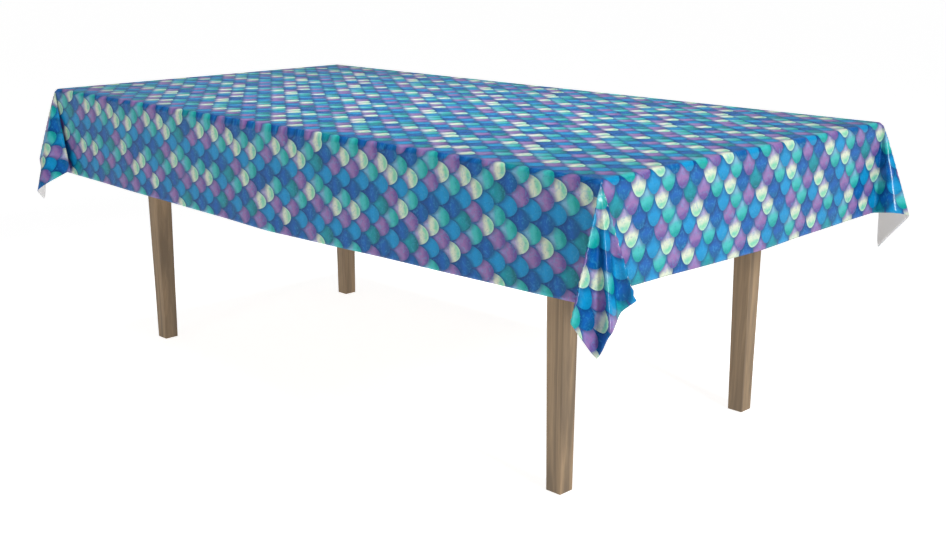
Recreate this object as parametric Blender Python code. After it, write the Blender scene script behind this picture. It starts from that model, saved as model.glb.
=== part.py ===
"""Dining table under a printed plastic tablecloth, as separate solids.

Metres, +Z up, X along the table. The origin lies on the floor under the middle of the table.
"""
from math import cos, pi, radians, sin, sqrt

import bmesh
import bpy
from mathutils import Matrix, Vector

# ---- Driving dimensions -------------------------------------------------------------------------
FIT_GAP = 0.0003            # clearance between pieces that touch or fit into each other

TABLE_HEIGHT = 0.748        # floor to the upper face of the tabletop
TOP_LENGTH = 2.060
TOP_WIDTH = 1.062
TOP_THICKNESS = 0.026
TOP_EDGE_RADIUS = 0.008     # rounding of the tabletop's upper edges and upright corners

CLOTH_WALL = 0.002
DROP_LONG = 0.241           # the cloth hangs this far below its upper face on the long sides
DROP_SHORT = 0.217          # and this far on the two ends
POCKET_REACH = 1.5          # the hollow of a corner fold is drawn out by this, to pass the hem
MIDDLE_STEPS = 400          # steps that find the middle of a fold, each shorter than the last
MIDDLE_REACH = 0.2

LEG_HEAD = 0.052            # square section where the aprons meet the leg
LEG_FOOT = 0.041            # square section at the floor
LEG_HEAD_LENGTH = 0.115
LEG_INSET_X = 0.240         # tabletop's edge to the leg's centre line
LEG_INSET_Y = 0.179
LEG_CHAMFER = 0.014         # flat cut on the head's inner corner, which faces the corner block

APRON_HEIGHT = 0.090
APRON_THICKNESS = 0.020
APRON_SETBACK = 0.006       # the leg's outer face stands this far proud of the apron

RAIL_WIDTH = 0.045          # cross rails that stiffen the tabletop
RAIL_HEIGHT = 0.060
RAIL_SPACING = 0.560        # from the middle of one rail to the middle of the other
TENON_LENGTH = 0.009
TENON_WIDTH = 0.025
TENON_HEIGHT = 0.038

BLOCK_THICKNESS = 0.026
BLOCK_HEIGHT = 0.078
BLOCK_STANDOFF = 0.003      # air between the leg's flat and the block, which the nuts draw up

BOLT_RADIUS = 0.0040
BOLT_SPACING = 0.038        # between the upper and the lower bolt of one leg
BOLT_IN_LEG = 0.028
BOLT_PAST_NUT = 0.007
WASHER_RADIUS = 0.0100
WASHER_THICKNESS = 0.0016
NUT_ACROSS_FLATS = 0.0130
NUT_HEIGHT = 0.0065

BRACKET_ARM = 0.030
BRACKET_WIDTH = 0.022
BRACKET_THICKNESS = 0.002
BRACKET_SPACING = 1.060     # between the two brackets of one long apron
BRACKET_HOLE_SHARE = 0.60   # a screw's place along its arm, from the bracket's corner
SCREW_RADIUS = 0.0020
SCREW_HEAD_RADIUS = 0.0040
SCREW_HEAD_HEIGHT = 0.0022
SCREW_LENGTH = 0.016        # under the head

GLIDE_RADIUS = 0.0110
GLIDE_HEIGHT = 0.0030
GLIDE_PIN_RADIUS = 0.0015
GLIDE_PIN_LENGTH = 0.014

ROUND_SIDES = 16
SMALL_ROUND_SIDES = 12
EDGE_SEGMENTS = 3

# Hem points of each corner fold, from the long side round to the end: how far a point lies beyond
# the long side, how far beyond the end, and how far below the cloth's upper face. The two ridges
# stand out from the sides, and the cloth's own corner hangs between them as a tip.
CORNER_FOLDS = {
    "front_right": ((0.118, 0.026, 0.242), (0.062, 0.052, 0.310), (0.012, 0.062, 0.262),
                    (-0.010, 0.095, 0.217)),
    "back_right": ((0.105, -0.030, 0.242), (0.046, 0.012, 0.312), (0.012, 0.055, 0.268),
                   (-0.007, 0.092, 0.217)),
    "front_left": ((-0.001, -0.070, 0.240), (0.088, -0.020, 0.255), (0.065, -0.006, 0.316),
                   (0.022, 0.042, 0.268), (-0.004, 0.078, 0.217)),
    "back_left": ((0.118, 0.010, 0.242), (0.075, 0.065, 0.305), (0.020, 0.066, 0.258),
                  (-0.010, 0.095, 0.217)),
}
CORNER_SIGNS = {
    "front_right": (1, -1),
    "back_right": (1, 1),
    "front_left": (-1, -1),
    "back_left": (-1, 1),
}

# ---- Sizes that follow --------------------------------------------------------------------------
CLOTH_TOP = TABLE_HEIGHT + FIT_GAP + CLOTH_WALL
CLOTH_HALF_X = TOP_LENGTH / 2 + FIT_GAP + CLOTH_WALL
CLOTH_HALF_Y = TOP_WIDTH / 2 + FIT_GAP + CLOTH_WALL
CLOTH_RADIUS = TOP_EDGE_RADIUS + FIT_GAP + CLOTH_WALL

FRAME_TOP = TABLE_HEIGHT - TOP_THICKNESS - FIT_GAP
LEG_X = TOP_LENGTH / 2 - LEG_INSET_X
LEG_Y = TOP_WIDTH / 2 - LEG_INSET_Y
LEG_BOTTOM = GLIDE_HEIGHT + FIT_GAP

APRON_OUTER = LEG_HEAD / 2 - APRON_SETBACK      # outward of the leg's centre line
APRON_INNER = APRON_OUTER - APRON_THICKNESS
APRON_MIDDLE = (APRON_OUTER + APRON_INNER) / 2
APRON_BOTTOM = FRAME_TOP - APRON_HEIGHT
APRON_CENTRE_Z = FRAME_TOP - APRON_HEIGHT / 2

RAIL_CENTRE_Z = FRAME_TOP - RAIL_HEIGHT / 2

# Along the diagonal of a leg, from its centre line towards the middle of the table:
LEG_FLAT = (LEG_HEAD - LEG_CHAMFER) / sqrt(2)
BLOCK_NEAR = LEG_FLAT + BLOCK_STANDOFF
BLOCK_FAR = BLOCK_NEAR + BLOCK_THICKNESS
WASHER_NEAR = BLOCK_FAR + FIT_GAP
NUT_NEAR = WASHER_NEAR + WASHER_THICKNESS + FIT_GAP
BOLT_START = LEG_FLAT - BOLT_IN_LEG
BOLT_END = NUT_NEAR + NUT_HEIGHT + BOLT_PAST_NUT
BOLT_HOLE_RADIUS = BOLT_RADIUS + FIT_GAP

MATERIALS = {
    "printed_film": ((0.10, 0.42, 0.62), 0.22, 0.0),
    "weathered_oak": ((0.32, 0.25, 0.19), 0.62, 0.0),
    "plain_beech": ((0.62, 0.46, 0.30), 0.60, 0.0),
    "zinc_steel": ((0.62, 0.62, 0.60), 0.35, 1.0),
    "nylon_glide": ((0.10, 0.09, 0.08), 0.50, 0.0),
}


# ---- Helpers ------------------------------------------------------------------------------------
def material(name):
    """Return the named Principled material, made on first use."""
    known = bpy.data.materials.get(name)
    if known:
        return known
    made = bpy.data.materials.new(name)
    made.use_nodes = True
    colour, roughness, metallic = MATERIALS[name]
    shader = made.node_tree.nodes["Principled BSDF"]
    shader.inputs["Base Color"].default_value = (*colour, 1.0)
    shader.inputs["Roughness"].default_value = roughness
    shader.inputs["Metallic"].default_value = metallic
    return made


def add_object(name, mesh_builder, finish):
    """Make a named object from a bmesh that mesh_builder fills."""
    mesh = bpy.data.meshes.new(name)
    work = bmesh.new()
    mesh_builder(work)
    bmesh.ops.recalc_face_normals(work, faces=work.faces)
    work.to_mesh(mesh)
    work.free()
    mesh.materials.append(material(finish))
    piece = bpy.data.objects.new(name, mesh)
    bpy.context.collection.objects.link(piece)
    return piece


def box_mesh(size, centre=(0.0, 0.0, 0.0)):
    """Builder of a box of the given size about a centre."""
    def build(work):
        place = Matrix.Translation(centre) @ Matrix.Diagonal((*size, 1.0))
        bmesh.ops.create_cube(work, size=1.0, matrix=place)
    return build


def rounded_block_mesh(size, centre, radius):
    """Builder of a box whose upper edges and upright edges are rounded."""
    def build(work):
        box_mesh(size, centre)(work)
        floor = min(vert.co.z for vert in work.verts)
        level = floor + size[2] / 2
        rounded = [edge for edge in work.edges if any(vert.co.z > level for vert in edge.verts)]
        bmesh.ops.bevel(
            work, geom=rounded, offset=radius, segments=EDGE_SEGMENTS, profile=0.5, affect="EDGES"
        )
    return build


def stepped_pin_mesh(sections, sides):
    """Builder of a turned pin along +Z. Each section is a height and the radius there."""
    def build(work):
        rings = []
        for height, radius in sections:
            ring = []
            for step in range(sides):
                angle = 2 * pi * (step + 0.5) / sides
                ring.append(work.verts.new((radius * cos(angle), radius * sin(angle), height)))
            rings.append(ring)
        for lower, upper in zip(rings, rings[1:]):
            for step in range(sides):
                following = (step + 1) % sides
                work.faces.new((lower[step], lower[following], upper[following], upper[step]))
        work.faces.new(list(reversed(rings[0])))
        work.faces.new(rings[-1])
    return build


def ring_mesh(hole_radius, outer_radius, height, outer_sides):
    """Builder of a washer or a nut from z = 0 to its height, with a round hole through it."""
    def circle(work, radius, sides, z):
        turns = [2 * pi * (step + 0.5) / sides for step in range(sides)]
        return [work.verts.new((radius * cos(turn), radius * sin(turn), z)) for turn in turns]

    def build(work):
        caps = []
        for z in (0.0, height):
            outer = circle(work, outer_radius, outer_sides, z)
            inner = circle(work, hole_radius, ROUND_SIDES, z)
            edges = []
            for ring in (outer, inner):
                edges += [work.edges.new((a, b)) for a, b in zip(ring, ring[1:] + ring[:1])]
            bmesh.ops.triangle_fill(work, edges=edges, use_beauty=True)
            caps.append((outer, inner))
        for lower, upper in zip(*caps):
            count = len(lower)
            for index in range(count):
                following = (index + 1) % count
                work.faces.new((lower[index], lower[following], upper[following], upper[index]))
    return build


def add_cutter(name, mesh_builder, place=Matrix.Identity(4)):
    """Make a hidden solid that other pieces are cut with."""
    cutter = add_object(name, mesh_builder, "zinc_steel")
    cutter.matrix_world = place
    cutter.hide_render = True
    cutter.display_type = "WIRE"
    return cutter


def cut(piece, cutter, operation="DIFFERENCE"):
    """Cut a piece with a cutter, or join the cutter to it."""
    step = piece.modifiers.new(cutter.name, "BOOLEAN")
    step.object = cutter
    step.operation = operation
    step.solver = "EXACT"


def shade_round(piece):
    """Smooth shading that keeps the hard edges."""
    piece.data.shade_smooth()
    piece.data.set_sharp_from_angle(angle=radians(35))


# ---- Cloth --------------------------------------------------------------------------------------
def fold_rays(corner):
    """Apex of a corner fold and the rays from it to the hem: the crease first, then round the fold."""
    sign_x, sign_y = CORNER_SIGNS[corner]
    tuck = CLOTH_WALL / 2
    hem = list(CORNER_FOLDS[corner])
    if sign_x * sign_y > 0:
        hem.reverse()
    hem.insert(0, (-tuck, -tuck, (DROP_LONG + DROP_SHORT) / 2))
    rounding = (1 - 1 / sqrt(3)) * CLOTH_RADIUS
    apex = Vector((-sign_x * rounding, -sign_y * rounding, -rounding))
    rays = [Vector((sign_x * end, sign_y * side, -drop)) - apex for side, end, drop in hem]
    return Vector((sign_x * CLOTH_HALF_X, sign_y * CLOTH_HALF_Y, CLOTH_TOP)) + apex, rays


def widest_middle(rays):
    """Direction down the middle of a fold, as far as it can lie from every wall, and that distance."""
    walls = []
    for ray, following in zip(rays, rays[1:] + rays[:1]):
        walls.append(following.cross(ray).normalized())
    middle = sum((ray.normalized() for ray in rays), Vector()).normalized()
    for step in range(MIDDLE_STEPS):
        nearest = min(walls, key=middle.dot)
        middle = (middle + nearest * MIDDLE_REACH / (step + 1)).normalized()
    return middle, min(middle.dot(wall) for wall in walls)


def fold_cone_mesh(corner, hollow):
    """Builder of one corner fold as a cone, or of the hollow that leaves it a wall all round.

    The hollow is the same cone slid down its middle, with its rays drawn out to pass the hem.
    """
    apex, rays = fold_rays(corner)
    reach = 1.0
    if hollow:
        middle, clearance = widest_middle(rays)
        apex = apex + middle * CLOTH_WALL / clearance
        reach = POCKET_REACH

    def build(work):
        top = work.verts.new(apex)
        ring = [work.verts.new(apex + ray * reach) for ray in rays]
        for index, vert in enumerate(ring):
            work.faces.new((top, vert, ring[(index + 1) % len(ring)]))
        for near, far in zip(ring[1:], ring[2:]):
            work.faces.new((ring[0], far, near))
    return build


def add_tablecloth():
    """The cloth as a thin shell: top, four hanging sides and four hollow corner folds."""
    deepest = max(DROP_LONG, DROP_SHORT)
    length = 2 * CLOTH_HALF_X
    width = 2 * CLOTH_HALF_Y
    cloth = add_object(
        "tablecloth",
        rounded_block_mesh((length, width, deepest), (0, 0, CLOTH_TOP - deepest / 2), CLOTH_RADIUS),
        "printed_film",
    )
    hollow = add_cutter(
        "cloth_hollow_cutter",
        rounded_block_mesh(
            (length - 2 * CLOTH_WALL, width - 2 * CLOTH_WALL, 2 * deepest),
            (0, 0, CLOTH_TOP - CLOTH_WALL - deepest),
            CLOTH_RADIUS - CLOTH_WALL,
        ),
    )
    for corner in CORNER_FOLDS:
        cut(cloth, add_cutter(f"{corner}_fold_cutter", fold_cone_mesh(corner, False)), "UNION")
    cut(cloth, hollow)
    for corner in CORNER_FOLDS:
        cut(cloth, add_cutter(f"{corner}_pocket_cutter", fold_cone_mesh(corner, True)))
    for name, sign in (("left", -1), ("right", 1)):
        trim_height = DROP_LONG - DROP_SHORT
        block = box_mesh(
            (4 * CLOTH_WALL, width - 2 * CLOTH_RADIUS, 2 * trim_height),
            (sign * CLOTH_HALF_X, 0, CLOTH_TOP - DROP_LONG),
        )
        cut(cloth, add_cutter(f"{name}_hem_cutter", block))
    shade_round(cloth)


# ---- Table frame --------------------------------------------------------------------------------
def add_tabletop():
    """The tabletop, with blind pilot holes for the bracket screws underneath."""
    top = add_object(
        "tabletop",
        rounded_block_mesh(
            (TOP_LENGTH, TOP_WIDTH, TOP_THICKNESS),
            (0, 0, TABLE_HEIGHT - TOP_THICKNESS / 2),
            TOP_EDGE_RADIUS,
        ),
        "weathered_oak",
    )
    for name, side, place_x in bracket_places():
        cut(top, add_cutter(f"{name}_top_pilot_cutter", pilot_mesh(), top_screw_place(side, place_x)))
    shade_round(top)


def leg_mesh(work):
    """A leg about its centre line: straight square head and a taper down to the foot."""
    head_start = FRAME_TOP - LEG_HEAD_LENGTH
    rings = []
    for height, size in ((LEG_BOTTOM, LEG_FOOT), (head_start, LEG_HEAD), (FRAME_TOP, LEG_HEAD)):
        half = size / 2
        corners = ((-half, -half), (half, -half), (half, half), (-half, half))
        rings.append([work.verts.new((x, y, height)) for x, y in corners])
    for lower, upper in zip(rings, rings[1:]):
        for index in range(4):
            following = (index + 1) % 4
            work.faces.new((lower[index], lower[following], upper[following], upper[index]))
    work.faces.new(list(reversed(rings[0])))
    work.faces.new(rings[-1])


def leg_places():
    """Name, centre line and the frame whose +X points from the leg to the middle of the table."""
    for corner, (sign_x, sign_y) in CORNER_SIGNS.items():
        centre = Vector((sign_x * LEG_X, sign_y * LEG_Y, 0.0))
        inward = Vector((-sign_x, -sign_y, 0.0)).normalized()
        up = Vector((0.0, 0.0, 1.0))
        turn = Matrix((inward, up.cross(inward), up)).transposed().to_4x4()
        yield corner, centre, Matrix.Translation(centre) @ turn


def bolt_places(corner, diagonal):
    """Name and frame of each of a leg's bolts; a bolt runs along its frame's +Z."""
    for level, sign in (("lower", -1), ("upper", 1)):
        height = APRON_CENTRE_Z + sign * BOLT_SPACING / 2
        along = Matrix.Translation((0.0, 0.0, height)) @ Matrix.Rotation(pi / 2, 4, "Y")
        yield f"{corner}_{level}", diagonal @ along


def add_legs():
    """Four legs, each with a chamfered inner corner, bolt holes and a hole for the glide's pin."""
    for corner, centre, diagonal in leg_places():
        leg = add_object(f"leg_{corner}", leg_mesh, "weathered_oak")
        leg.location = centre
        chamfer = box_mesh(
            (LEG_HEAD, 2 * LEG_HEAD, LEG_HEAD_LENGTH),
            (LEG_FLAT + LEG_HEAD / 2, 0, FRAME_TOP - LEG_HEAD_LENGTH / 2 + FIT_GAP),
        )
        cut(leg, add_cutter(f"{corner}_chamfer_cutter", chamfer, diagonal))
        hole = stepped_pin_mesh(
            ((BOLT_START - FIT_GAP, BOLT_HOLE_RADIUS), (LEG_HEAD, BOLT_HOLE_RADIUS)), ROUND_SIDES
        )
        for name, place in bolt_places(corner, diagonal):
            cut(leg, add_cutter(f"{name}_leg_hole_cutter", hole, place))
        pin_hole = stepped_pin_mesh(
            (
                (0.0, GLIDE_PIN_RADIUS + FIT_GAP),
                (GLIDE_HEIGHT + GLIDE_PIN_LENGTH + FIT_GAP, GLIDE_PIN_RADIUS + FIT_GAP),
            ),
            SMALL_ROUND_SIDES,
        )
        cut(leg, add_cutter(f"{corner}_pin_hole_cutter", pin_hole, Matrix.Translation(centre)))
        glide = add_object(f"glide_{corner}", glide_mesh, "nylon_glide")
        glide.location = centre
        shade_round(glide)


def glide_mesh(work):
    """A nail-on glide: a low disc on the floor with a pin up into the leg."""
    sections = (
        (0.0, GLIDE_RADIUS - GLIDE_HEIGHT / 3),
        (GLIDE_HEIGHT / 3, GLIDE_RADIUS),
        (GLIDE_HEIGHT, GLIDE_RADIUS),
        (GLIDE_HEIGHT, GLIDE_PIN_RADIUS),
        (GLIDE_HEIGHT + GLIDE_PIN_LENGTH, GLIDE_PIN_RADIUS),
    )
    stepped_pin_mesh(sections, SMALL_ROUND_SIDES)(work)


def add_aprons():
    """Two long and two short aprons between the legs; the long ones are mortised for the rails."""
    between_x = 2 * LEG_X - LEG_HEAD - 2 * FIT_GAP
    between_y = 2 * LEG_Y - LEG_HEAD - 2 * FIT_GAP
    for name, sign in (("front", -1), ("back", 1)):
        middle = (0, sign * (LEG_Y + APRON_MIDDLE), APRON_CENTRE_Z)
        apron = add_object(
            f"apron_{name}", box_mesh((between_x, APRON_THICKNESS, APRON_HEIGHT), middle), "weathered_oak"
        )
        for rail, place_x in rail_places():
            depth = TENON_LENGTH + FIT_GAP
            inner_face = LEG_Y + APRON_INNER
            mortise = box_mesh(
                (TENON_WIDTH + 2 * FIT_GAP, 2 * depth, TENON_HEIGHT + 2 * FIT_GAP),
                (place_x, sign * inner_face, RAIL_CENTRE_Z),
            )
            cut(apron, add_cutter(f"{name}_{rail}_mortise_cutter", mortise))
        for bracket, side, place_x in bracket_places():
            if side == sign:
                place = apron_screw_place(side, place_x)
                cut(apron, add_cutter(f"{bracket}_apron_pilot_cutter", pilot_mesh(), place))
    for name, sign in (("left", -1), ("right", 1)):
        middle = (sign * (LEG_X + APRON_MIDDLE), 0, APRON_CENTRE_Z)
        add_object(
            f"apron_{name}", box_mesh((APRON_THICKNESS, between_y, APRON_HEIGHT), middle), "weathered_oak"
        )


def rail_places():
    """Name and x of each cross rail."""
    return ("left", -RAIL_SPACING / 2), ("right", RAIL_SPACING / 2)


def add_cross_rails():
    """Rails across the frame, right under the tabletop, with a stub tenon at each end."""
    half_span = LEG_Y + APRON_INNER - FIT_GAP
    for name, place_x in rail_places():
        body = box_mesh((RAIL_WIDTH, 2 * half_span, RAIL_HEIGHT), (place_x, 0, RAIL_CENTRE_Z))
        rail = add_object(f"cross_rail_{name}", body, "plain_beech")
        tenon = box_mesh(
            (TENON_WIDTH, 2 * (half_span + TENON_LENGTH), TENON_HEIGHT), (place_x, 0, RAIL_CENTRE_Z)
        )
        cut(rail, add_cutter(f"{name}_tenon_cutter", tenon), "UNION")


def block_mesh(work):
    """A corner block in a leg's diagonal frame, mitred to lie against both aprons' inner faces."""
    aprons_meet = -APRON_INNER * sqrt(2)
    glue_gap = FIT_GAP * sqrt(2)
    near_half = BLOCK_NEAR - aprons_meet - glue_gap
    far_half = BLOCK_FAR - aprons_meet - glue_gap
    corners = (
        (BLOCK_NEAR, -near_half),
        (BLOCK_FAR, -far_half),
        (BLOCK_FAR, far_half),
        (BLOCK_NEAR, near_half),
    )
    rings = []
    for height in (APRON_CENTRE_Z - BLOCK_HEIGHT / 2, APRON_CENTRE_Z + BLOCK_HEIGHT / 2):
        rings.append([work.verts.new((x, y, height)) for x, y in corners])
    lower, upper = rings
    work.faces.new(list(reversed(lower)))
    work.faces.new(upper)
    for index in range(4):
        following = (index + 1) % 4
        work.faces.new((lower[index], lower[following], upper[following], upper[index]))


def add_corner_joints():
    """Corner blocks, and the hanger bolts, washers and nuts that draw each leg to its block."""
    bolt = stepped_pin_mesh(((BOLT_START, BOLT_RADIUS), (BOLT_END, BOLT_RADIUS)), ROUND_SIDES)
    hole = stepped_pin_mesh(((0.0, BOLT_HOLE_RADIUS), (2 * BLOCK_FAR, BOLT_HOLE_RADIUS)), ROUND_SIDES)
    washer = ring_mesh(BOLT_HOLE_RADIUS, WASHER_RADIUS, WASHER_THICKNESS, ROUND_SIDES)
    nut = ring_mesh(BOLT_HOLE_RADIUS, NUT_ACROSS_FLATS / sqrt(3), NUT_HEIGHT, 6)
    for corner, _, diagonal in leg_places():
        block = add_object(f"corner_block_{corner}", block_mesh, "plain_beech")
        block.matrix_world = diagonal
        for name, place in bolt_places(corner, diagonal):
            cut(block, add_cutter(f"{name}_block_hole_cutter", hole, place))
            for kind, builder, start in (
                ("hanger_bolt", bolt, 0.0),
                ("washer", washer, WASHER_NEAR),
                ("nut", nut, NUT_NEAR),
            ):
                piece = add_object(f"{kind}_{name}", builder, "zinc_steel")
                piece.matrix_world = place @ Matrix.Translation((0.0, 0.0, start))
                shade_round(piece)


# ---- Tabletop brackets --------------------------------------------------------------------------
def bracket_places():
    """Name, side of the table (-1 front, 1 back) and x of each bracket."""
    for side_name, side in (("front", -1), ("back", 1)):
        for end_name, end in (("left", -1), ("right", 1)):
            yield f"{side_name}_{end_name}", side, end * BRACKET_SPACING / 2


def top_screw_place(side, place_x):
    """Frame of the screw that goes up into the tabletop: +Z runs into the wood."""
    inner_face = LEG_Y + APRON_INNER
    reach = inner_face - FIT_GAP - BRACKET_ARM * BRACKET_HOLE_SHARE
    return Matrix.Translation((place_x, side * reach, FRAME_TOP - BRACKET_THICKNESS))


def apron_screw_place(side, place_x):
    """Frame of the screw that goes level into the apron: +Z runs into the wood."""
    inner_face = LEG_Y + APRON_INNER
    height = FRAME_TOP - BRACKET_ARM * BRACKET_HOLE_SHARE
    place = Matrix.Translation((place_x, side * (inner_face - FIT_GAP - BRACKET_THICKNESS), height))
    return place @ Matrix.Rotation(-side * pi / 2, 4, "X")


def pilot_mesh():
    """Cutter of a screw's hole through a bracket and into the wood behind it."""
    radius = SCREW_RADIUS + FIT_GAP
    sections = ((-FIT_GAP, radius), (SCREW_LENGTH + FIT_GAP, radius))
    return stepped_pin_mesh(sections, SMALL_ROUND_SIDES)


def screw_mesh(work):
    """A pan-head screw: its head lies on the bracket and its shank runs along +Z."""
    sections = (
        (-FIT_GAP - SCREW_HEAD_HEIGHT, SCREW_HEAD_RADIUS / 2),
        (-FIT_GAP - SCREW_HEAD_HEIGHT / 2, SCREW_HEAD_RADIUS),
        (-FIT_GAP, SCREW_HEAD_RADIUS),
        (-FIT_GAP, SCREW_RADIUS),
        (SCREW_LENGTH, SCREW_RADIUS),
    )
    stepped_pin_mesh(sections, SMALL_ROUND_SIDES)(work)


def bracket_mesh(side, place_x):
    """Builder of an angle bracket in the corner between the tabletop and a long apron."""
    def build(work):
        inner_face = side * (LEG_Y + APRON_INNER - FIT_GAP)
        arm = BRACKET_ARM
        wall = BRACKET_THICKNESS
        section = ((0, 0), (-arm, 0), (-arm, -wall), (-wall, -wall), (-wall, -arm), (0, -arm))
        left = place_x - BRACKET_WIDTH / 2
        right = place_x + BRACKET_WIDTH / 2
        rings = []
        for x in (left, right):
            ring = [work.verts.new((x, inner_face + side * y, FRAME_TOP + z)) for y, z in section]
            rings.append(ring)
        count = len(section)
        for index in range(count):
            following = (index + 1) % count
            work.faces.new((rings[0][index], rings[0][following], rings[1][following], rings[1][index]))
        work.faces.new(list(reversed(rings[0])))
        work.faces.new(rings[1])
    return build


def add_brackets():
    """Angle brackets that hold the tabletop to the long aprons, with two screws each."""
    for name, side, place_x in bracket_places():
        bracket = add_object(f"bracket_{name}", bracket_mesh(side, place_x), "zinc_steel")
        for kind, place in (
            ("top", top_screw_place(side, place_x)),
            ("apron", apron_screw_place(side, place_x)),
        ):
            cut(bracket, add_cutter(f"{name}_{kind}_clearance_cutter", pilot_mesh(), place))
            screw = add_object(f"screw_{kind}_{name}", screw_mesh, "zinc_steel")
            screw.matrix_world = place
            shade_round(screw)


def clear_scene():
    """Remove the objects that the file opens with."""
    for piece in list(bpy.data.objects):
        bpy.data.objects.remove(piece)


def main():
    clear_scene()
    add_tablecloth()
    add_tabletop()
    add_legs()
    add_aprons()
    add_cross_rails()
    add_corner_joints()
    add_brackets()


main()
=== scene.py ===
"""Looks of a dining table under a printed tablecloth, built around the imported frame. Metres, +Z up."""

import math

import bpy
import numpy as np
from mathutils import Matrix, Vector


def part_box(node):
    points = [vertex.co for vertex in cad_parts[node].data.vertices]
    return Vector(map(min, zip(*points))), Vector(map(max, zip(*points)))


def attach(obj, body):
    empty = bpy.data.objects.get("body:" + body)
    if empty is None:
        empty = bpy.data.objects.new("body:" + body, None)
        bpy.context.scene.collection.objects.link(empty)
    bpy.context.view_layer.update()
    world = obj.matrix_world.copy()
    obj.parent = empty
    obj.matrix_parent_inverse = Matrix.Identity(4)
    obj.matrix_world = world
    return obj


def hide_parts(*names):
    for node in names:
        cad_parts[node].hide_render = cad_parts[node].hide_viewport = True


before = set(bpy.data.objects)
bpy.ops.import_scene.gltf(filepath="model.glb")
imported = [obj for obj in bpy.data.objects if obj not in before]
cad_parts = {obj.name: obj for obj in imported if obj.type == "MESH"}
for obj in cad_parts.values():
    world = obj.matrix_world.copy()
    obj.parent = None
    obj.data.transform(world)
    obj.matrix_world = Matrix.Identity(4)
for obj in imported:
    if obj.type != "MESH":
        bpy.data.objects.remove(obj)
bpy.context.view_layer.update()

bl_info = {
    "name": "Dining table with a scale-print tablecloth",
    "version": (1, 0, 0),
    "blender": (4, 5, 0),
    "location": "View3D > Sidebar > Table",
    "description": "Builds the draped cloth, the timber, the fittings and the stage",
    "category": "Object",
}

CORNERS = ("front_left", "front_right", "back_left", "back_right")

# The cloth lies this far outside the tabletop, as its CAD solid does.
TOP_LOW, TOP_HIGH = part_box("tabletop")
CLOTH_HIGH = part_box("tablecloth")[1].z
LAY_GAP = CLOTH_HIGH - TOP_HIGH.z
EDGE_X = TOP_HIGH.x + LAY_GAP
EDGE_Y = TOP_HIGH.y + LAY_GAP

FLOOR_SIZE = 160.0
FLOOR_RIM = 5.0             # the floor's edges turn up this far, to stand above the horizon
END_SLACK = 0.012           # past the right end, the print comes to lie this much further back
END_SLACK_REACH = 0.04      # and has shifted by two thirds of that after this distance
WEAVE_PITCH = 0.0011        # from thread to thread on the printed side
BACKING_PITCH = 0.0014      # and on the unprinted side

# Where each corner's spare cloth folds, as points on the hem measured from the cloth's top corner:
# (out past the table's end, out past its long side, down). "long" runs from the long side to the
# cloth's own corner, "tip", and "end" on from there to the table's end. The point numbered in a
# "swing" slides along its way until that stretch of hem has the cloth's real length.
FOLDS = {
    "front_right": {
        "long": [(0.0, 0.0, 0.242), (0.026, 0.118, 0.242)],
        "long_swing": (1, (0.62, 0.76, -0.18)),
        "tip": (0.0525, 0.0618, 0.310),
        "end": [(0.057, 0.031, 0.282), (0.062, 0.001, 0.255), (0.095, -0.010, 0.217), (0.0, 0.0, 0.217)],
        "end_swing": (0, (0.62, 0.76, -0.18)),
    },
    "back_right": {
        "long": [(-0.050, 0.0, 0.242), (-0.075, 0.090, 0.242)],
        "long_swing": (1, (0.0, 1.0, 0.0)),
        "tip": (-0.018, 0.050, 0.3185),
        "end": [(0.096, -0.007, 0.217), (0.047, -0.018, 0.220), (0.0, -0.021, 0.223)],
        "end_swing": (1, (0.45, -0.88, -0.13)),
    },
    "front_left": {
        "long": [(-0.035, 0.0, 0.242), (-0.097, 0.015, 0.222), (-0.029, 0.066, 0.250), (0.007, 0.075, 0.261)],
        "long_swing": (0, (1.0, 0.0, 0.0)),
        "tip": (-0.010, 0.058, 0.3215),
        "end": [(0.085, 0.010, 0.217), (0.0, 0.0, 0.217)],
        "end_swing": (0, (1.0, 0.2, 0.0)),
    },
    "back_left": {
        "long": [(0.0, 0.0, 0.242), (0.020, 0.112, 0.242)],
        "long_swing": (1, (0.4, 0.9, 0.0)),
        "tip": (0.056, 0.058, 0.310),
        "end": [(0.060, 0.030, 0.284), (0.064, 0.002, 0.255), (0.096, -0.008, 0.217), (0.0, 0.0, 0.217)],
        "end_swing": (0, (0.7, 0.7, -0.18)),
    },
}

# The print's repeat, one word for each row of scales across the cloth, in order towards +X, and one
# letter for each scale in it, in order towards +Y.
CHART = (
    "PBCAM", "TPMCB", "PCBAM", "ACBPM", "BPMAC", "CABMP", "BPTAC", "AMPCB", "PBCAM",
    "APMTC", "TPMAB", "ACBPM", "BPMAC", "ACBPM", "BPMAC", "TABMP", "BPTAC", "AMPCB",
)
# Each kind of scale has a tone at its crown, its shoulders, its heart, its tip and along its rim.
KINDS = {
    "C": ((56, 102, 162), (168, 158, 198), (214, 222, 198), (120, 206, 168), (206, 228, 200)),
    "M": ((46, 116, 170), (118, 174, 202), (68, 186, 184), (6, 160, 152), (14, 142, 148)),
    "P": ((56, 84, 152), (144, 122, 182), (148, 112, 170), (108, 82, 150), (88, 78, 146)),
    "A": ((4, 100, 158), (8, 130, 190), (8, 144, 202), (4, 138, 190), (8, 122, 178)),
    "B": ((4, 70, 138), (4, 82, 154), (10, 94, 174), (4, 92, 150), (6, 80, 142)),
    "T": ((6, 102, 150), (10, 150, 168), (8, 142, 154), (4, 114, 126), (4, 96, 114)),
}
RAMP_STOPS = 30


def paint(red, green, blue):
    """A colour named by its screen values, 0 to 255, as Blender's linear RGBA."""
    def linear(value):
        value = value / 255
        return value / 12.92 if value <= 0.04045 else ((value + 0.055) / 1.055) ** 2.4
    return (linear(red), linear(green), linear(blue), 1.0)


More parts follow.
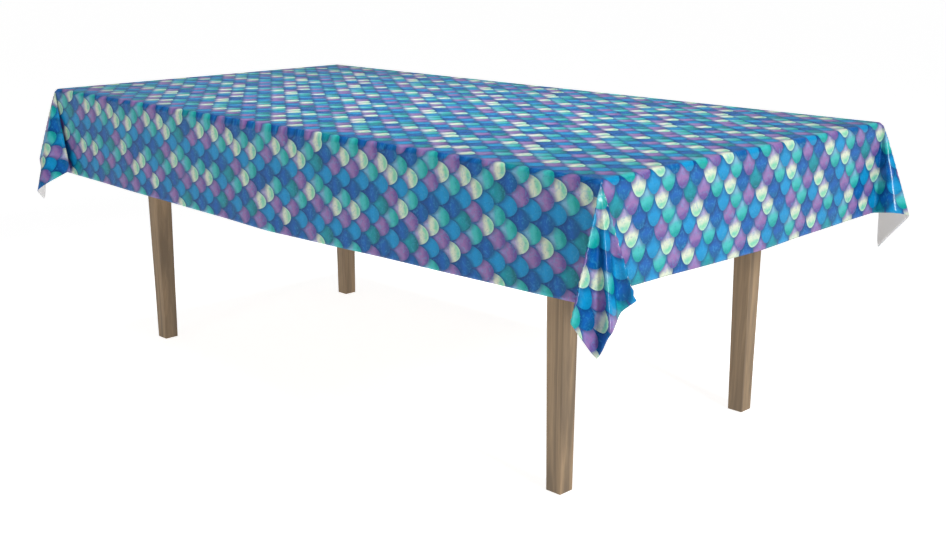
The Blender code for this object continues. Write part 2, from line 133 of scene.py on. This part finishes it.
class ClothSettings(bpy.types.PropertyGroup):
    drop_side: bpy.props.FloatProperty(
        name="Side drop", description="How far the cloth hangs along the long sides", default=0.2421,
        unit="LENGTH")
    drop_end: bpy.props.FloatProperty(
        name="End drop", description="How far the cloth hangs at the table's ends", default=0.2172,
        unit="LENGTH")
    thickness: bpy.props.FloatProperty(
        name="Thickness", description="Thickness of the cloth", default=0.0007, unit="LENGTH")
    edge_radius: bpy.props.FloatProperty(
        name="Edge radius", description="Radius of the cloth over the table's edge", default=0.0103,
        unit="LENGTH")
    fold_softness: bpy.props.FloatProperty(
        name="Fold softness", description="How far round a corner fold's ridge is spread",
        default=math.radians(2.6), subtype="ANGLE")
    ripple: bpy.props.FloatProperty(
        name="Ripple", description="Height of the gentle waves along the hem", default=0.0022,
        unit="LENGTH")
    inside_colour: bpy.props.FloatVectorProperty(
        name="Inside", description="Colour of the cloth's unprinted side", size=4, subtype="COLOR",
        default=paint(214, 213, 213), min=0, max=1)


class PrintSettings(bpy.types.PropertyGroup):
    scale_width: bpy.props.FloatProperty(
        name="Scale width", description="Width of one printed scale", default=0.0468, unit="LENGTH")
    row_pitch: bpy.props.FloatProperty(
        name="Row pitch", description="Distance from one row of scales to the next", default=0.03178,
        unit="LENGTH")
    first_row: bpy.props.FloatProperty(
        name="First row", description="Where the repeat's first row lies past the right end", default=0.014,
        unit="LENGTH")
    first_scale: bpy.props.FloatProperty(
        name="First scale", description="Where the repeat's first scale lies back from the front edge",
        default=0.015, unit="LENGTH")
    arc_height: bpy.props.FloatProperty(
        name="Arc height", description="Height of a scale's rounded end, in rows", default=1.25)
    depth: bpy.props.FloatProperty(
        name="Ink depth", description="Brightness of the printed colours", default=0.90, min=0, max=1.5)


class TimberSettings(bpy.types.PropertyGroup):
    edge_wear: bpy.props.FloatProperty(
        name="Edge radius", description="Radius of the worn edges", default=0.0022, unit="LENGTH")
    oak: bpy.props.FloatVectorProperty(
        name="Oak", description="Colour of the weathered oak", size=4, subtype="COLOR",
        default=paint(160, 134, 102), min=0, max=1)
    beech: bpy.props.FloatVectorProperty(
        name="Beech", description="Colour of the plain beech", size=4, subtype="COLOR",
        default=paint(196, 164, 124), min=0, max=1)


class StageSettings(bpy.types.PropertyGroup):
    eye: bpy.props.FloatVectorProperty(
        name="Eye", description="Where the camera stands", size=3, subtype="TRANSLATION",
        default=(2.4720, -2.3085, 1.1751), unit="LENGTH")
    turn: bpy.props.FloatProperty(
        name="Turn", description="The camera's turn about the vertical", default=math.radians(44.899),
        subtype="ANGLE")
    tilt: bpy.props.FloatProperty(
        name="Tilt", description="How far the camera looks down", default=math.radians(14.779),
        subtype="ANGLE")
    lens: bpy.props.FloatProperty(
        name="Lens", description="Focal length in millimetres", default=48.2)
    sky: bpy.props.FloatProperty(
        name="Sky", description="Strength of the white surround", default=0.20)
    glow: bpy.props.FloatProperty(
        name="Glow", description="How much light the pale floor gives back", default=0.86)
    key: bpy.props.FloatProperty(
        name="Lamps", description="Strength of the three soft lamps", default=1.0)


# ---------------------------------------------------------------- shader maths


class Wire:
    """A socket or a number in a material, which Python's operators build Math nodes on."""

    def __init__(self, shade, socket):
        self.shade = shade
        self.socket = socket

    def math(self, operation, *values):
        return self.shade.node("ShaderNodeMath", {"operation": operation}, dict(enumerate(values)))

    def __add__(self, other):
        return self.math("ADD", self, other)

    def __radd__(self, other):
        return self.math("ADD", other, self)

    def __sub__(self, other):
        return self.math("SUBTRACT", self, other)

    def __rsub__(self, other):
        return self.math("SUBTRACT", other, self)

    def __mul__(self, other):
        return self.math("MULTIPLY", self, other)

    def __rmul__(self, other):
        return self.math("MULTIPLY", other, self)

    def __truediv__(self, other):
        return self.math("DIVIDE", self, other)

    def __mod__(self, other):
        return self.math("FLOORED_MODULO", self, other)

    def __lt__(self, other):
        return self.math("LESS_THAN", self, other)

    def __gt__(self, other):
        return self.math("GREATER_THAN", self, other)

    def floor(self):
        return self.math("FLOOR", self)

    def size(self):
        return self.math("ABSOLUTE", self)

    def root(self):
        return self.math("SQRT", self.math("MAXIMUM", self, 0.0))

    def ease(self, start, end):
        """0 at start and before, 1 at end and after, smooth between."""
        return self.shade.node(
            "ShaderNodeMapRange", {"interpolation_type": "SMOOTHSTEP"},
            {"Value": self, "From Min": start, "From Max": end, "To Min": 0.0, "To Max": 1.0})


class Shade:
    """A new material with one Principled BSDF, and the few calls that this file's finishes use."""

    def __init__(self, name):
        self.material = bpy.data.materials.new(name)
        self.material.use_nodes = True
        self.tree = self.material.node_tree
        self.surface = self.tree.nodes["Principled BSDF"]

    def node(self, kind, settings, values, output=0):
        """Adds a node, sets it and its sockets, and returns one of its outputs."""
        made = self.tree.nodes.new(kind)
        for name, value in settings.items():
            setattr(made, name, value)
        for name, value in values.items():
            self.put(made.inputs[name], value)
        return Wire(self, made.outputs[output])

    def put(self, socket, value):
        if isinstance(value, Wire):
            self.tree.links.new(value.socket, socket)
        else:
            socket.default_value = value

    def wear(self, **sockets):
        """Sets or links the surface's sockets, named as on the node with _ for a space."""
        for name, value in sockets.items():
            self.put(self.surface.inputs[name.replace("_", " ")], value)
        return self.material

    def parts(self, vector):
        split = self.tree.nodes.new("ShaderNodeSeparateXYZ")
        self.put(split.inputs[0], vector)
        return [Wire(self, out) for out in split.outputs]

    def vector(self, x, y, z):
        return self.node("ShaderNodeCombineXYZ", {}, {0: x, 1: y, 2: z})

    def object_place(self):
        return self.node("ShaderNodeTexCoord", {}, {}, "Object")

    def cloth_place(self):
        return self.node("ShaderNodeUVMap", {"uv_map": "flat_cloth"}, {})

    def stretched(self, place, scale):
        return self.node("ShaderNodeMapping", {}, {"Vector": place, "Scale": scale})

    def noise(self, place, scale, detail=3.0, roughness=0.5, distortion=0.0):
        return self.node(
            "ShaderNodeTexNoise", {},
            {"Vector": place, "Scale": scale, "Detail": detail, "Roughness": roughness,
             "Distortion": distortion})

    def mix(self, factor, first, second, blend="MIX"):
        """A colour between first and second."""
        made = self.tree.nodes.new("ShaderNodeMix")
        made.data_type = "RGBA"
        made.blend_type = blend
        self.put(made.inputs["Factor"], factor)
        self.put(next(s for s in made.inputs if s.name == "A" and s.type == "RGBA"), first)
        self.put(next(s for s in made.inputs if s.name == "B" and s.type == "RGBA"), second)
        return Wire(self, next(s for s in made.outputs if s.type == "RGBA"))

    def steps(self, value, colours):
        """One of the colours, by value from 0 to 1 in equal steps."""
        made = self.tree.nodes.new("ShaderNodeValToRGB")
        ramp = made.color_ramp
        ramp.interpolation = "CONSTANT"
        ramp.elements[0].color = colours[0]
        ramp.elements.remove(ramp.elements[1])
        for number, colour in enumerate(colours[1:], 1):
            ramp.elements.new(number / len(colours)).color = colour
        self.put(made.inputs[0], value)
        return Wire(self, made.outputs[0])

    def bump(self, height, strength, distance):
        return self.node(
            "ShaderNodeBump", {}, {"Height": height, "Strength": strength, "Distance": distance})


def chart_kind(shade, row, column):
    """The kind of the scale at a row and column of the print, as the middle of its step from 0 to 1."""
    letters = "".join(CHART)
    width = len(CHART[0])
    place = (row % len(CHART)) * width + column % width
    kinds = list(KINDS)
    found = []
    for start in range(0, len(letters), RAMP_STOPS):
        greys = [(kinds.index(letter) + 0.5) / len(kinds) for letter in letters[start:start + RAMP_STOPS]]
        ramp = shade.steps((place - start + 0.5) / RAMP_STOPS, [(grey, grey, grey, 1.0) for grey in greys])
        inside = (place > start - 0.5) * (place < start + RAMP_STOPS - 0.5)
        found.append(ramp * inside)
    return sum(found[1:], found[0])


def printed_face():
    """The printed side: overlapping fish scales in six kinds, rounded ends towards the right end."""
    settings = bpy.context.scene.print_settings
    shade = Shade("printed_scales")
    flat = shade.cloth_place()
    along, across, _ = shade.parts(flat)
    rows = (along - settings.first_row) / settings.row_pitch
    columns = (across - settings.first_scale) / settings.scale_width
    arc = settings.arc_height

    def scale_at(row):
        stagger = 0.5 * (row % 2)
        shifted = columns - stagger + 0.5
        column = shifted.floor()
        side = 2 * (shifted - column) - 1
        edge = 1 - arc * (1 - (1 - side * side).root())
        return column, side, edge

    upper = -1 * (-1 * (rows - 1)).floor()
    _, _, upper_edge = scale_at(upper)
    row = upper + ((rows - upper) > upper_edge)
    column, side, edge = scale_at(row)
    down = rows - row
    inwards = 1 - side.size()
    cover = -1 * arc * (1 - (1 - inwards * inwards).root())
    under_cover = down - cover
    to_rim = edge - down

    kind = chart_kind(shade, row, column)
    crown, shoulder, heart, tip, rim = (
        shade.steps(kind, [paint(*tones[part]) for tones in KINDS.values()]) for part in range(5))
    cloud = shade.noise(flat, 55.0, 3.0, 0.55, 0.6)
    drift = down + 0.50 * (cloud - 0.5) + 0.12 * side
    colour = shade.mix(drift.ease(-0.62, -0.18), crown, shoulder)
    colour = shade.mix(drift.ease(-0.15, 0.25), colour, heart)
    colour = shade.mix(drift.ease(0.30, 0.80), colour, tip)
    colour = shade.mix(0.55 * to_rim.ease(0.30, 0.0), colour, rim)
    swirl = shade.noise(flat, 95.0, 2.0, 0.5, 1.5)
    colour = shade.mix(0.34 * swirl.ease(0.48, 0.72), colour, paint(56, 164, 204))
    fleck = shade.noise(flat, 170.0, 2.0, 0.6)
    colour = shade.mix(0.35 * fleck.ease(0.55, 0.75), colour, paint(8, 76, 140))
    outer = side.size().ease(0.55, 1.0) * down.ease(0.5, -0.2)
    colour = shade.mix(0.62 * outer, colour, paint(16, 84, 140))
    shadow = 0.62 * under_cover.ease(0.56, -0.10)
    colour = shade.mix(shadow, colour, paint(6, 62, 110))
    level = settings.depth * (0.90 + 0.2 * shade.noise(flat, 9.0, 2.0))
    colour = shade.mix(1.0, colour, shade.vector(level, level, level), "MULTIPLY")

    weave_u = along.math("SINE", along * (2 * math.pi / WEAVE_PITCH))
    weave_v = across.math("SINE", across * (2 * math.pi / WEAVE_PITCH))
    slack = shade.noise(flat, 14.0, 2.0)
    height = 0.12 * weave_u * weave_v + 3.0 * slack
    return shade.wear(
        Base_Color=colour,
        Roughness=0.36 + 0.14 * shade.noise(flat, 30.0, 2.0) + 0.04 * weave_u,
        Normal=shade.bump(height, 0.30, 0.0006),
        Coat_Weight=0.32,
        Coat_Roughness=0.15,
        Specular_IOR_Level=0.06,
    )


def plain_face():
    """The cloth's unprinted side: a pale grey backing with a fine weave."""
    settings = bpy.context.scene.cloth_settings
    shade = Shade("cloth_backing")
    flat = shade.cloth_place()
    along, across, _ = shade.parts(flat)
    cloud = shade.noise(flat, 12.0, 3.0)
    ribs = along.math("SINE", (along + across) * (2 * math.pi / BACKING_PITCH))
    colour = shade.mix(0.35 * cloud, settings.inside_colour, paint(196, 195, 196))
    return shade.wear(
        Base_Color=colour,
        Roughness=0.72 + 0.1 * cloud,
        Normal=shade.bump(0.2 * ribs + cloud, 0.3, 0.0005),
    )


def timber(name, tone, grain_axis):
    """Open-grained wood with its grain along one axis, a drift of tone and darker pores."""
    shade = Shade(name)
    place = shade.object_place()
    stretch = [26.0, 26.0, 26.0]
    stretch["XYZ".index(grain_axis)] = 1.6
    fine = [420.0, 420.0, 420.0]
    fine["XYZ".index(grain_axis)] = 9.0
    bands = shade.noise(shade.stretched(place, stretch), 1.0, 5.0, 0.62, 0.8)
    pores = shade.noise(shade.stretched(place, fine), 1.0, 2.0, 0.6)
    cloud = shade.noise(place, 4.0, 2.0)
    dark = tuple(0.42 * value for value in tone[:3]) + (1.0,)
    pale = tuple(min(1.0, 1.22 * value) for value in tone[:3]) + (1.0,)
    colour = shade.mix(bands.ease(0.34, 0.70), dark, tone)
    colour = shade.mix(0.55 * bands.ease(0.55, 0.78), colour, pale)
    colour = shade.mix(0.45 * pores.ease(0.54, 0.70), colour, dark)
    colour = shade.mix(0.22 * cloud, colour, paint(124, 112, 98))
    return shade.wear(
        Base_Color=colour,
        Roughness=0.52 + 0.20 * bands + 0.12 * pores,
        Normal=shade.bump(bands * 0.6 - pores, 0.35, 0.0009),
    )


def zinc():
    """Bright zinc plate, faintly spangled and finely brushed."""
    shade = Shade("zinc_plate")
    place = shade.object_place()
    spangle = shade.noise(place, 380.0, 2.0)
    brushed = shade.noise(shade.stretched(place, (900.0, 60.0, 60.0)), 1.0, 2.0)
    return shade.wear(
        Base_Color=shade.mix(spangle, paint(176, 180, 184), paint(214, 217, 220)),
        Metallic=0.85 + 0.15 * spangle,
        Roughness=0.26 + 0.22 * brushed,
        Normal=shade.bump(brushed, 0.12, 0.0002),
    )


def nylon():
    """Moulded nylon of the glides, scuffed where it slides."""
    shade = Shade("nylon_glide")
    place = shade.object_place()
    scuff = shade.noise(place, 260.0, 3.0)
    return shade.wear(
        Base_Color=shade.mix(scuff, paint(66, 64, 62), paint(104, 101, 97)),
        Roughness=0.45 + 0.3 * scuff,
        Normal=shade.bump(scuff, 0.15, 0.0003),
    )


def pale_floor():
    """A pale floor of smooth plaster that glows evenly, so that it stays white."""
    shade = Shade("pale_floor")
    place = shade.object_place()
    cloud = shade.noise(place, 3.0, 3.0)
    return shade.wear(
        Base_Color=shade.mix(cloud, (0.58, 0.58, 0.58, 1.0), (0.62, 0.62, 0.62, 1.0)),
        Roughness=0.75 + 0.1 * cloud,
        Emission_Color=(1.0, 1.0, 1.0, 1.0),
        Emission_Strength=bpy.context.scene.stage_settings.glow,
    )


# ---------------------------------------------------------------- the cloth


def unit(rows):
    rows = np.asarray(rows, float)
    return rows / np.linalg.norm(rows, axis=-1, keepdims=True)


def great_arcs(stops, step):
    """Points along great arcs of the unit sphere from stop to stop, and each stop's number among them."""
    points, marks = [stops[0]], [0]
    for first, last in zip(stops, stops[1:]):
        angle = math.acos(np.clip(first @ last, -1, 1))
        count = max(1, round(angle / step))
        for n in range(1, count + 1):
            share = n / count * angle
            point = (math.sin(angle - share) * first + math.sin(share) * last) / max(math.sin(angle), 1e-9)
            points.append(point)
        marks.append(len(points) - 1)
    return unit(points), marks


def soften(points, spread):
    """The same run of directions with its corners rounded by a bell-shaped average."""
    reach = math.ceil(3 * spread)
    bell = np.exp(-0.5 * (np.arange(-reach, reach + 1) / spread) ** 2)
    bell = bell / bell.sum()
    padded = np.concatenate([points[:1].repeat(reach, 0), points, points[-1:].repeat(reach, 0)])
    mixed = np.stack([np.convolve(padded[:, axis], bell, "valid") for axis in range(3)], 1)
    return unit(mixed)


def swung(points, swing, amount):
    number, way = swing
    moved = [np.array((x, y, -drop)) for x, y, drop in points]
    moved[number] = moved[number] + amount * np.array((way[0], way[1], -way[2]))
    return moved


def fold_run(fold, softness, tip_turn):
    """Directions from a cloth corner round its fold, with the flat cloth's angle for each.

    The run starts along the long edge and ends along the end's edge; the flat cloth has 270 degrees
    between them. tip_turn is the flat angle at which the cloth's own corner lies."""
    step = math.radians(0.5)
    spread = softness / step

    def made(long_amount, end_amount):
        long_run = swung(fold["long"], fold["long_swing"], long_amount)
        end_run = swung(fold["end"], fold["end_swing"], end_amount)
        x, y, drop = fold["tip"]
        run = [(-1.0, 0.0, 0.0), *long_run, (x, y, -drop), *end_run, (0.0, -1.0, 0.0)]
        points, marks = great_arcs(unit(run), step)
        points = soften(points, spread)
        gaps = np.arccos(np.clip((points[1:] * points[:-1]).sum(1), -1, 1))
        turned = np.concatenate([[0.0], gaps.cumsum()])
        tip_mark = marks[1 + len(long_run)]
        return points, turned, tip_mark

    whole = math.radians(270)
    amounts = [0.0, 0.0]
    for _ in range(3):
        for part in range(2):
            low, high = -0.05, 0.22
            for _ in range(18):
                amounts[part] = (low + high) / 2
                _, turned, tip_mark = made(*amounts)
                short = turned[tip_mark] < tip_turn if part == 0 else (
                    turned[-1] - turned[tip_mark] < whole - tip_turn)
                low, high = (amounts[part], high) if short else (low, amounts[part])
    points, turned, tip_mark = made(*amounts)
    before = turned / turned[tip_mark] * tip_turn
    after = tip_turn + (turned - turned[tip_mark]) / (turned[-1] - turned[tip_mark]) * (whole - tip_turn)
    return points, np.where(turned <= turned[tip_mark], before, after)


def spaced(low, high, step):
    return np.linspace(low, high, max(2, round((high - low) / step) + 1))


def cuts(edge, drop):
    """Grid lines across the flat cloth: close over the table's edges and in the drops, open on the top."""
    skirt, over, near, top = 0.0062, 0.0026, 0.0075, 0.018
    half = np.concatenate([
        spaced(0.0, edge - 0.16, top),
        spaced(edge - 0.16, edge - 0.018, near),
        spaced(edge - 0.018, edge + 0.018, over),
        spaced(edge + 0.018, edge + drop, skirt),
    ])
    half = np.unique(half.round(6))
    return np.concatenate([-half[:0:-1], half])


def draped(flat_x, flat_y):
    """Where each point of the flat cloth lies on the table, in world metres."""
    settings = bpy.context.scene.cloth_settings
    tip_turn = math.pi - math.atan2(settings.drop_side, settings.drop_end)
    x, y = np.meshgrid(flat_x, flat_y, indexing="ij")
    placed = np.stack([x, y, np.full_like(x, CLOTH_HIGH)], -1)
    for name in CORNERS:
        sign_y = 1 if name.startswith("back") else -1
        sign_x = 1 if name.endswith("right") else -1
        directions, turned = fold_run(FOLDS[name], settings.fold_softness, tip_turn)
        out_end = sign_x * x - EDGE_X
        out_side = sign_y * y - EDGE_Y
        mine = (sign_x * x >= 0) & (sign_y * y >= 0) & ((out_end > 0) | (out_side > 0))
        reach = np.hypot(out_end, out_side)
        angle = np.arctan2(out_side, -out_end)
        angle = np.where(angle < -math.pi / 2, angle + 2 * math.pi, angle)
        way = np.stack([np.interp(angle, turned, directions[:, axis]) for axis in range(3)], -1)
        way = unit(way)
        corner = np.array((sign_x * EDGE_X, sign_y * EDGE_Y, CLOTH_HIGH))
        hung = corner + reach[..., None] * way * np.array((sign_x, sign_y, 1))
        placed[mine] = hung[mine]
    return placed


def eased_over_edges(points, radius):
    """Rounds the cloth over the table's edges, fading where it hangs clear of the table."""
    limit = np.array((EDGE_X, EDGE_Y, CLOTH_HIGH))
    low = np.array((-EDGE_X, -EDGE_Y, -1.0))
    nearest = np.clip(points, low, limit)
    clear = np.linalg.norm(points - nearest, axis=-1, keepdims=True)
    core = np.clip(nearest, low + np.array((radius, radius, 0)), limit - radius)
    arm = nearest - core
    span = np.linalg.norm(arm, axis=-1, keepdims=True)
    rounded = core + arm * np.minimum(1.0, radius / np.maximum(span, 1e-9))
    below = (CLOTH_HIGH - points[..., 2:3]) / 0.05
    flat_side = np.exp(-np.maximum(0.0, below - 0.4))
    upright = (np.abs(arm[..., 2:3]) < 1e-9) * 1.0
    hold = np.exp(-clear / 0.022) * np.where(upright > 0, flat_side, 1.0)
    return points + (rounded - nearest) * hold


def rippled(points, flat_x, flat_y, height):
    """Adds the slow waves that a hanging cloth has, growing towards the hem."""
    x, y = np.meshgrid(flat_x, flat_y, indexing="ij")
    depth = np.clip((CLOTH_HIGH - points[..., 2]) / 0.24, 0, 1)
    on_side = np.exp(-np.abs(np.abs(points[..., 1]) - EDGE_Y) / 0.012)
    on_end = np.exp(-np.abs(np.abs(points[..., 0]) - EDGE_X) / 0.012)
    wave_x = np.sin(x * 9.3 + 0.7) + 0.6 * np.sin(x * 21.0 + 2.1) + 1.6
    wave_y = np.sin(y * 11.7 + 1.9) + 0.6 * np.sin(y * 26.0 + 0.4) + 1.6
    moved = points.copy()
    moved[..., 1] += np.sign(points[..., 1]) * 0.5 * height * wave_x * depth ** 1.5 * on_side
    moved[..., 0] += np.sign(points[..., 0]) * 0.5 * height * wave_y * depth ** 1.5 * on_end
    return moved


def deselect():
    bpy.ops.object.select_all(action="DESELECT")


def finish_piece(piece, body, replaced):
    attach(piece, body)
    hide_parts(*replaced)
    return piece


def print_place(flat_x, flat_y):
    """The print's own coordinates: past the right end, and back from the front edge."""
    x, y = np.meshgrid(flat_x, flat_y, indexing="ij")
    back = y + EDGE_Y
    past_end = np.maximum(x - EDGE_X, 0.0)
    return x - EDGE_X, back - END_SLACK * (1 - np.exp(-past_end / END_SLACK_REACH))


class TABLE_OT_cloth(bpy.types.Operator):
    """Drape the printed cloth over the tabletop"""

    bl_idname = "table.cloth"
    bl_label = "Drape the cloth"

    def execute(self, context):
        settings = context.scene.cloth_settings
        flat_x = cuts(EDGE_X, settings.drop_end)
        flat_y = cuts(EDGE_Y, settings.drop_side)
        points = draped(flat_x, flat_y)
        points = eased_over_edges(points, settings.edge_radius)
        points = rippled(points, flat_x, flat_y, settings.ripple)
        columns, rows = len(flat_x), len(flat_y)
        number = np.arange(columns * rows).reshape(columns, rows)
        faces = np.stack([number[:-1, :-1], number[1:, :-1], number[1:, 1:], number[:-1, 1:]], -1)
        mesh = bpy.data.meshes.new("tablecloth_draped")
        mesh.from_pydata(points.reshape(-1, 3).tolist(), [], faces.reshape(-1, 4).tolist())
        along, across = print_place(flat_x, flat_y)
        flat_map = mesh.uv_layers.new(name="flat_cloth")
        corners = np.empty(len(mesh.loops), int)
        mesh.loops.foreach_get("vertex_index", corners)
        uv = np.stack([along.ravel()[corners], across.ravel()[corners]], 1)
        flat_map.data.foreach_set("uv", uv.ravel())
        mesh.materials.append(printed_face())
        mesh.materials.append(plain_face())
        cloth = bpy.data.objects.new("tablecloth_draped", mesh)
        context.scene.collection.objects.link(cloth)
        deselect()
        cloth.select_set(True)
        context.view_layer.objects.active = cloth
        bpy.ops.object.shade_smooth()
        wall = cloth.modifiers.new("wall", "SOLIDIFY")
        wall.thickness = settings.thickness
        wall.offset = -1.0
        wall.use_quality_normals = True
        wall.material_offset = 1
        bpy.ops.object.modifier_apply(modifier=wall.name)
        finish_piece(cloth, "cloth", ["tablecloth"])
        return {"FINISHED"}


# ---------------------------------------------------------------- timber and fittings


def worn_copy(node, name, finish, radius):
    """A copy of a CAD board with its edges worn round, which stands for that board."""
    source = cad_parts[node]
    mesh = source.data.copy()
    mesh.materials.clear()
    mesh.materials.append(finish)
    piece = bpy.data.objects.new(name, mesh)
    bpy.context.scene.collection.objects.link(piece)
    deselect()
    piece.select_set(True)
    bpy.context.view_layer.objects.active = piece
    bpy.ops.object.mode_set(mode="EDIT")
    bpy.ops.mesh.select_all(action="SELECT")
    bpy.ops.mesh.remove_doubles(threshold=0.00001)
    bpy.ops.mesh.dissolve_limited(angle_limit=math.radians(2))
    bpy.ops.object.mode_set(mode="OBJECT")
    wear = piece.modifiers.new("wear", "BEVEL")
    wear.width = radius
    wear.segments = 3
    wear.limit_method = "ANGLE"
    wear.angle_limit = math.radians(35)
    wear.use_clamp_overlap = True
    bpy.ops.object.modifier_apply(modifier=wear.name)
    bpy.ops.object.shade_smooth_by_angle(angle=math.radians(35))
    return finish_piece(piece, "table", [node])


class TABLE_OT_timber(bpy.types.Operator):
    """Wear the edges of the oak and beech boards and give them their grain"""

    bl_idname = "table.timber"
    bl_label = "Finish the timber"

    def execute(self, context):
        settings = context.scene.timber_settings
        oak_tone, beech_tone = tuple(settings.oak), tuple(settings.beech)
        upright = timber("oak_upright", oak_tone, "Z")
        lengthwise = timber("oak_lengthwise", oak_tone, "X")
        crosswise = timber("oak_crosswise", oak_tone, "Y")
        beech = timber("beech_crosswise", beech_tone, "Y")
        for corner in CORNERS:
            worn_copy(f"leg_{corner}", f"oak_leg_{corner}", upright, settings.edge_wear)
            worn_copy(f"corner_block_{corner}", f"beech_block_{corner}", beech,
                      settings.edge_wear / 2)
        for side in ("front", "back"):
            worn_copy(f"apron_{side}", f"oak_apron_{side}", lengthwise,
                      settings.edge_wear / 2)
        for side in ("left", "right"):
            worn_copy(f"apron_{side}", f"oak_apron_{side}", crosswise,
                      settings.edge_wear / 2)
            worn_copy(f"cross_rail_{side}", f"beech_rail_{side}", beech,
                      settings.edge_wear / 2)
        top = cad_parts["tabletop"]
        top.data.materials.clear()
        top.data.materials.append(lengthwise)
        return {"FINISHED"}


class TABLE_OT_fittings(bpy.types.Operator):
    """Give the bolts, nuts, washers, brackets, screws and glides their finishes"""

    bl_idname = "table.fittings"
    bl_label = "Finish the fittings"

    def execute(self, context):
        plated, moulded = zinc(), nylon()
        for name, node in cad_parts.items():
            if node.hide_render or name == "tabletop":
                continue
            node.data.materials.clear()
            node.data.materials.append(moulded if name.startswith("glide") else plated)
        return {"FINISHED"}


# ---------------------------------------------------------------- stage


class TABLE_OT_stage(bpy.types.Operator):
    """Lay the floor and set the lights and the camera"""

    bl_idname = "table.stage"
    bl_label = "Set the stage"

    def execute(self, context):
        settings = context.scene.stage_settings
        deselect()
        bpy.ops.mesh.primitive_plane_add(size=FLOOR_SIZE, location=(0, 0, 0))
        floor = context.object
        floor.name = "floor"
        bpy.ops.object.mode_set(mode="EDIT")
        bpy.ops.mesh.select_all(action="SELECT")
        bpy.ops.mesh.extrude_edges_move(TRANSFORM_OT_translate={"value": (0, 0, FLOOR_RIM)})
        bpy.ops.object.mode_set(mode="OBJECT")
        floor.data.materials.append(pale_floor())
        world = bpy.data.worlds.new("white_surround")
        context.scene.world = world
        world.use_nodes = True
        surround = world.node_tree.nodes["Background"]
        surround.inputs["Color"].default_value = (1.0, 1.0, 1.0, 1.0)
        surround.inputs["Strength"].default_value = settings.sky
        self.lamp("key", (4.5, -0.9, 2.6), (0.7, 1.0), 120 * settings.key)
        self.lamp("strip", (0.2, -3.6, 2.4), (0.2, 0.9), 8 * settings.key)
        self.lamp("overhead", (0.0, 0.0, 3.2), (2.3, 1.3), 15 * settings.key, 50)
        camera_data = bpy.data.cameras.new("camera")
        camera_data.lens = settings.lens
        camera = bpy.data.objects.new("camera", camera_data)
        camera.location = settings.eye
        camera.rotation_euler = (math.pi / 2 - settings.tilt, 0.0, settings.turn)
        context.scene.collection.objects.link(camera)
        context.scene.camera = camera
        context.scene.view_settings.view_transform = "Standard"
        return {"FINISHED"}

    def lamp(self, name, place, size, power, spread=180):
        """A rectangular soft light that faces the middle of the table."""
        light = bpy.data.lights.new(name, "AREA")
        light.shape = "RECTANGLE"
        light.size, light.size_y = size
        light.energy = power
        light.spread = math.radians(spread)
        lamp = bpy.data.objects.new(name, light)
        lamp.location = place
        aim = Vector((0.0, 0.0, TOP_HIGH.z)) - Vector(place)
        lamp.rotation_euler = aim.to_track_quat("-Z", "Y").to_euler()
        bpy.context.scene.collection.objects.link(lamp)


class TABLE_PT_panel(bpy.types.Panel):
    bl_label = "Table and cloth"
    bl_space_type = "VIEW_3D"
    bl_region_type = "UI"
    bl_category = "Table"

    def draw(self, context):
        for operator, groups in STEPS:
            self.layout.operator(operator)
            for group in groups:
                settings = getattr(context.scene, group)
                for name in settings.__annotations__:
                    self.layout.prop(settings, name)


STEPS = (
    ("table.stage", ("stage_settings",)),
    ("table.cloth", ("cloth_settings", "print_settings")),
    ("table.timber", ("timber_settings",)),
    ("table.fittings", ()),
)
GROUPS = {
    "cloth_settings": ClothSettings,
    "print_settings": PrintSettings,
    "timber_settings": TimberSettings,
    "stage_settings": StageSettings,
}
OPERATORS = (TABLE_OT_stage, TABLE_OT_cloth, TABLE_OT_timber, TABLE_OT_fittings)


def register():
    for name, group in GROUPS.items():
        bpy.utils.register_class(group)
        setattr(bpy.types.Scene, name, bpy.props.PointerProperty(type=group))
    for operator in OPERATORS:
        bpy.utils.register_class(operator)
    bpy.utils.register_class(TABLE_PT_panel)


def unregister():
    bpy.utils.unregister_class(TABLE_PT_panel)
    for operator in reversed(OPERATORS):
        bpy.utils.unregister_class(operator)
    for name, group in GROUPS.items():
        delattr(bpy.types.Scene, name)
        bpy.utils.unregister_class(group)


def main():
    register()
    bpy.ops.table.stage()
    bpy.ops.table.cloth()
    bpy.ops.table.timber()
    bpy.ops.table.fittings()


if __name__ == "__main__":
    main()
